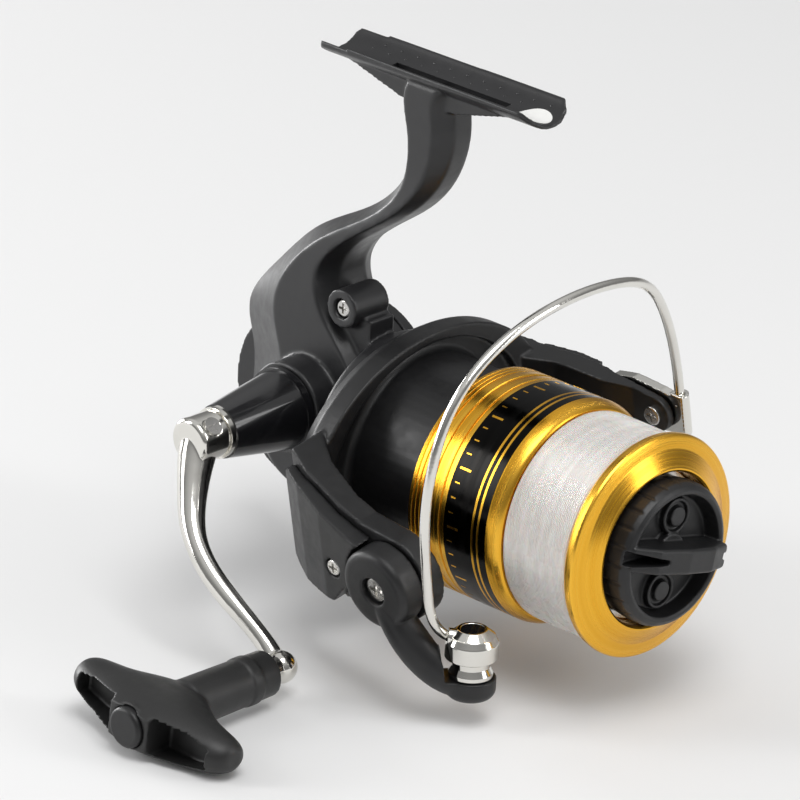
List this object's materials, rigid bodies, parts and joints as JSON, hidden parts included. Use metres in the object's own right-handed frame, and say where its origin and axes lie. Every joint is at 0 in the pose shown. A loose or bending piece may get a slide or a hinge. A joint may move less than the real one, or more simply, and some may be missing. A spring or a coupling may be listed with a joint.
{
  "type": "spinning reel",
  "caption": "Front-drag spinning reel with folding-pin crank and T-knob, oval rotor with wire bail and line roller, line-filled skirted spool and top foot.",
  "frame": {"origin": "on the axis of the rod saddle on top of the foot, at mid-length of its full-width stretch", "axes": "+X forward along the main shaft towards the spool, +Y towards the side away from the crank, +Z from the reel body up to the foot"},
  "size_m": [0.14, 0.1501, 0.1287],
  "materials": {
    "body_black": "satin",
    "plastic_black": "fine matte",
    "gloss_black": "gloss",
    "spool_gold": "anodised gold, turned",
    "band_black": "gloss",
    "chrome": "polished",
    "steel": "machined",
    "brass": "machined",
    "zinc": "cast",
    "line": "translucent nylon",
    "felt": "oiled felt",
    "grip_rubber": "soft matte"
  },
  "bodies": {
    "housing": {"body_frame": "body_black", "side_cover": "body_black", "cover_screws": "steel", "frame_screw": "steel", "crank_bearing_outer_near": "steel", "crank_bearing_outer_far": "steel", "pinion_bearing": "steel", "roller_clutch": "steel", "guide_rod": "steel", "osc_gear_axle": "steel"},
    "crank": {"drive_gear": "zinc", "handle_shank": "steel", "handle_cone": "gloss_black", "handle_collar": "gloss_black", "handle_ring": "chrome", "handle_screw_cap": "plastic_black", "crank_arm": "chrome", "crank_pin": "steel", "knob_axle": "steel", "crank_bearing_inner_near": "steel", "crank_bearing_inner_far": "steel"},
    "grip": {"knob": "grip_rubber", "knob_cap": "plastic_black"},
    "oscillator": {"osc_gear": "zinc"},
    "rotor_head": {"pinion": "brass", "rotor": "plastic_black", "rotor_nut": "brass", "near_arm_cover": "plastic_black", "near_cover_screw": "steel", "far_arm_cover": "plastic_black", "far_cover_screw": "steel", "bail_spring": "steel", "bail_spring_guide": "steel", "near_pivot_screw": "steel", "far_pivot_screw": "steel"},
    "bail": {"bail_arm": "plastic_black", "bail_wire": "chrome", "roller_cap": "chrome", "roller_cap_badge": "gloss_black", "roller_axle": "steel", "far_bail_holder": "chrome"},
    "roller": {"line_roller": "chrome"},
    "shaft": {"main_shaft": "steel", "slider": "zinc", "slider_screw": "steel", "spool_seat": "plastic_black", "click_gear": "plastic_black"},
    "spool_drum": {"spool": "spool_gold", "spool_bushing": "steel", "spool_band": "band_black", "spool_stripes": "spool_gold", "line_fill": "line", "drag_washers_felt": "felt", "drag_washers_steel": "steel", "drag_retaining_ring": "steel"},
    "drag_dial": {"drag_knob": "plastic_black", "drag_nut": "brass", "drag_spring": "steel"}
  },
  "joints": [
    {"name": "crank_spin", "type": "hinge", "parent": "housing", "child": "crank", "pos_m": [-0.0335, 0, -0.0888], "axis": [0, 1, 0], "continuous": true},
    {"name": "grip_spin", "type": "hinge", "parent": "crank", "child": "grip", "pos_m": [0.0065, -0.056, -0.1263], "axis": [0, 1, 0], "continuous": true},
    {"name": "oscillator_spin", "type": "hinge", "parent": "housing", "child": "oscillator", "pos_m": [-0.0441, 0, -0.0984], "axis": [0, 1, 0], "continuous": true},
    {"name": "rotor_spin", "type": "hinge", "parent": "housing", "child": "rotor_head", "pos_m": [0.0625, 0, -0.095], "axis": [1, 0, 0], "continuous": true},
    {"name": "bail_open", "type": "hinge", "parent": "rotor_head", "child": "bail", "pos_m": [0.0255, 0, -0.095], "axis": [0, 0.9816, 0.1908], "range_deg": [0, 70]},
    {"name": "roller_spin", "type": "hinge", "parent": "bail", "child": "roller", "pos_m": [0.0425, -0.03407, -0.11731], "axis": [0, 0, 1], "continuous": true},
    {"name": "spool_stroke", "type": "slide", "parent": "housing", "child": "shaft", "axis": [1, 0, 0], "range_m": [-0.016, 0.001]},
    {"name": "drag_slip", "type": "hinge", "parent": "shaft", "child": "spool_drum", "pos_m": [0.0625, 0, -0.095], "axis": [1, 0, 0], "continuous": true},
    {"name": "drag_dial_turn", "type": "hinge", "parent": "shaft", "child": "drag_dial", "pos_m": [0.0625, 0, -0.095], "axis": [1, 0, 0], "range_deg": [-360, 360]}
  ],
  "couplings": [
    {"joint": "rotor_spin", "follows": "crank_spin", "ratio": -5.2222},
    {"joint": "oscillator_spin", "follows": "crank_spin", "ratio": -0.35714}
  ]
}
